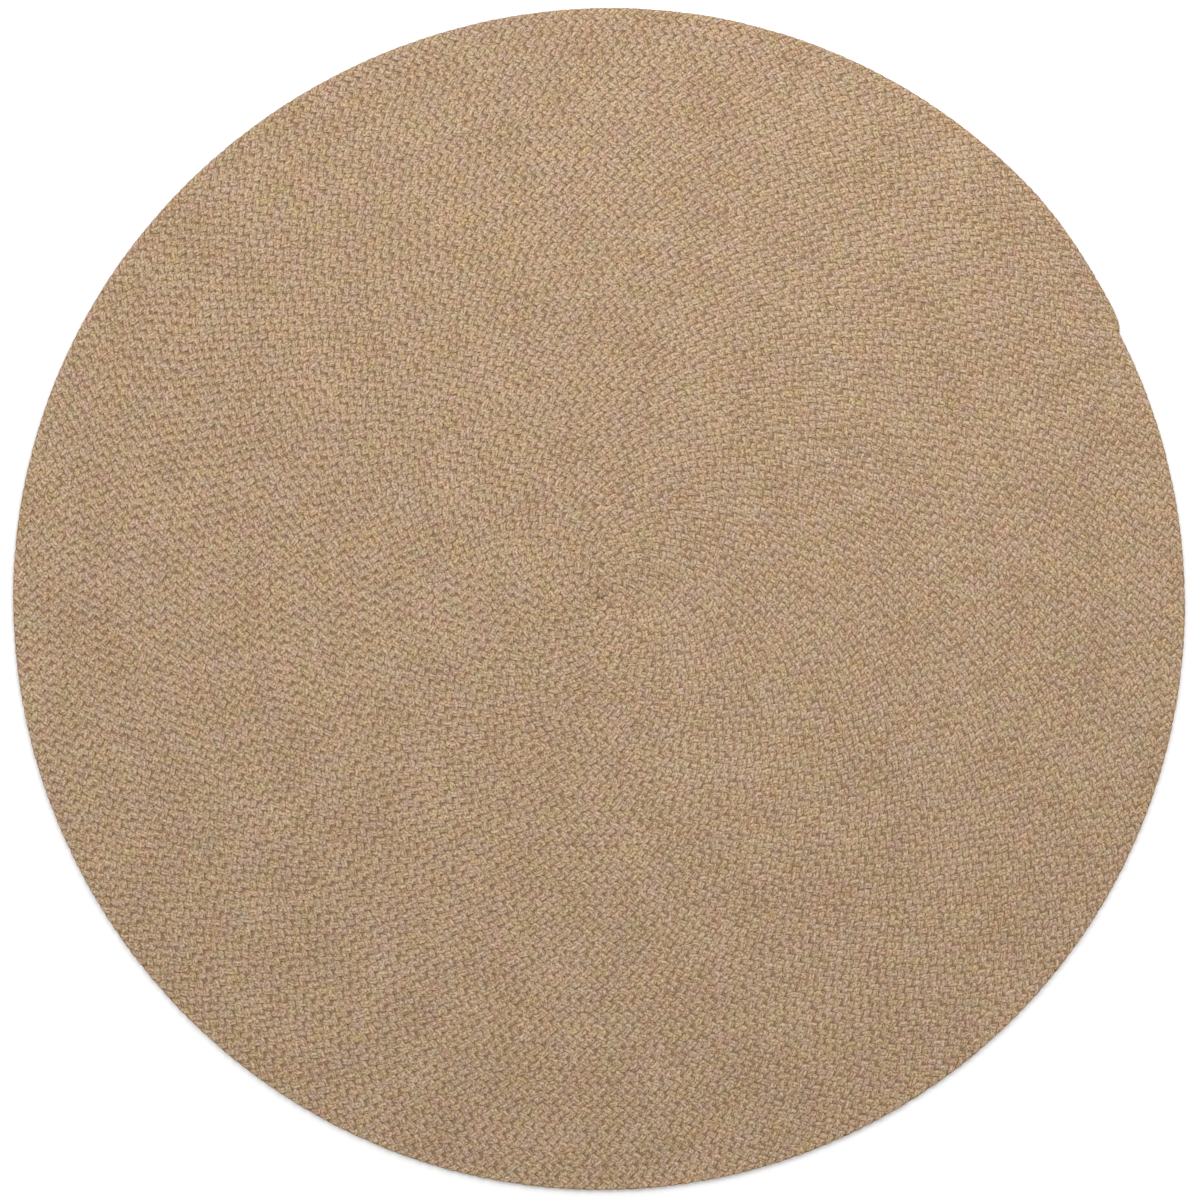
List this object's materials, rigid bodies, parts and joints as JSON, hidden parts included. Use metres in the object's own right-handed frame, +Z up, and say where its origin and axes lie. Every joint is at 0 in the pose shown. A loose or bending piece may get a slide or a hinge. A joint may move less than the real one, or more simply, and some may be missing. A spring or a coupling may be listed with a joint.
{
  "type": "round braided outdoor rug",
  "caption": "Round flat rug of one three-strand plait wound into a spiral and sewn turn to turn, with a tapered outer end and no border.",
  "frame": {"origin": "under the middle of the rug, on the floor", "axes": "+Z up; the outer end of the plait lies 27 degrees from +X towards +Y"},
  "size_m": [1.8186, 1.834, 0.009],
  "materials": {
    "heathered_yarn": "matt heathered beige yarn, plaited; its fibre is guessed to be polypropylene"
  },
  "bodies": {
    "root": {"braided_rug": "heathered_yarn"}
  },
  "joints": []
}
